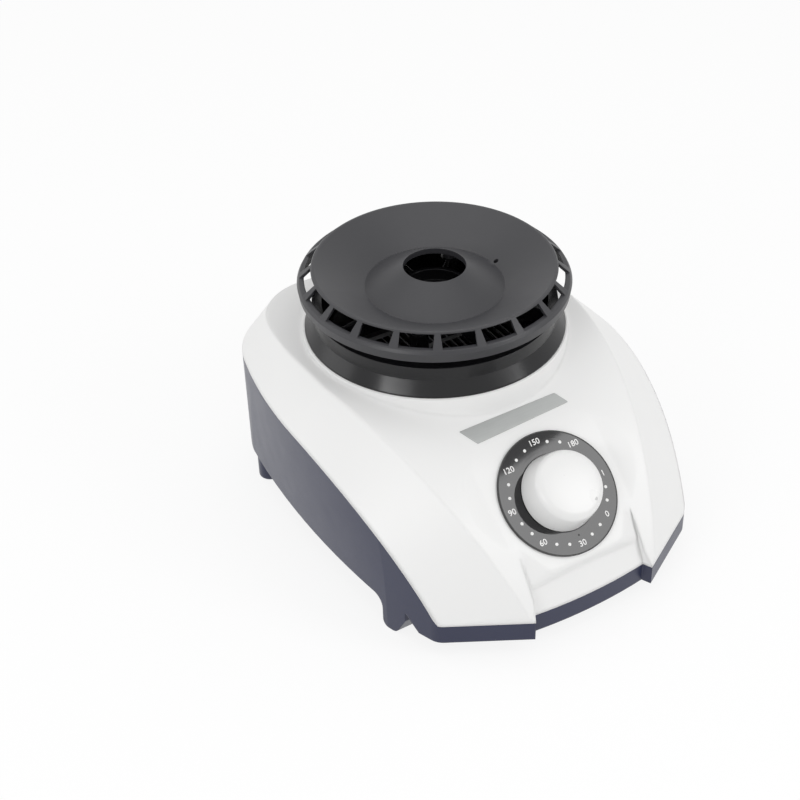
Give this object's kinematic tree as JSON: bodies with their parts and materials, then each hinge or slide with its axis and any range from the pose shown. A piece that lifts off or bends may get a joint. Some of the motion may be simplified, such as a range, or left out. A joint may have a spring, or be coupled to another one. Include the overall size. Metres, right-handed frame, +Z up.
{
  "type": "warm-air dryer blower",
  "caption": "Low table-top blower: sloped two-tone housing on four legs, raised round outlet with a saucer cap, fan and heater below it, and a timer knob on the front slope.",
  "frame": {"origin": "on the table, under the middle of the housing's outline", "axes": "+X to the right as seen from the front, +Y to the back, +Z up; the timer faces -Y and up"},
  "size_m": [0.18, 0.22, 0.1278],
  "materials": {
    "base_plastic": "fine matte texture",
    "cover_plastic": "satin",
    "collar_plastic": "gloss",
    "cap_plastic": "satin",
    "dial_plastic": "gloss",
    "knob_plastic": "satin",
    "inner_plastic": "matte",
    "fan_plastic": "satin",
    "block_plastic": "matte",
    "shaft_steel": "ground",
    "sheet_steel": "zinc plated",
    "screw_steel": "zinc plated",
    "core_iron": "stamped sheets",
    "magnet": "ground ferrite",
    "coil_copper": "enamelled copper wire",
    "tab_brass": "plain",
    "heater_aluminium": "plain",
    "gland_rubber": "matte"
  },
  "bodies": {
    "housing": {"base_shell": "base_plastic", "top_cover": "cover_plastic", "outlet_collar": "collar_plastic", "outlet_cap": "cap_plastic", "dial_plate": "dial_plastic", "timer_case": "inner_plastic", "timer_plate": "sheet_steel", "timer_terminals": "tab_brass", "timer_screws": "screw_steel", "stator_core": "core_iron", "stator_coils": "coil_copper", "motor_can": "sheet_steel", "motor_end_plate": "sheet_steel", "motor_bearings": "tab_brass", "motor_bracket": "sheet_steel", "motor_screws": "screw_steel", "bracket_screws": "screw_steel", "air_duct": "inner_plastic", "heater_frame": "inner_plastic", "ptc_bars": "heater_aluminium", "heater_fins": "heater_aluminium", "thermostat": "sheet_steel", "thermal_fuse": "tab_brass", "terminal_block": "block_plastic", "cord_gland": "gland_rubber", "cover_screws": "screw_steel", "cap_screws": "screw_steel"},
    "timer": {"timer_knob": "knob_plastic", "timer_shaft": "shaft_steel"},
    "fan": {"fan_impeller": "fan_plastic", "motor_shaft": "shaft_steel", "motor_rotor": "magnet"}
  },
  "joints": [
    {"name": "timer_turn", "type": "hinge", "parent": "housing", "child": "timer", "pos_m": [0, -0.0778, 0.0577], "axis": [0, 0.6225, -0.7826], "range_deg": [-45, 270]},
    {"name": "fan_spin", "type": "hinge", "parent": "housing", "child": "fan", "pos_m": [0, 0.0265, 0.055], "axis": [0, 0, 1], "continuous": true}
  ]
}
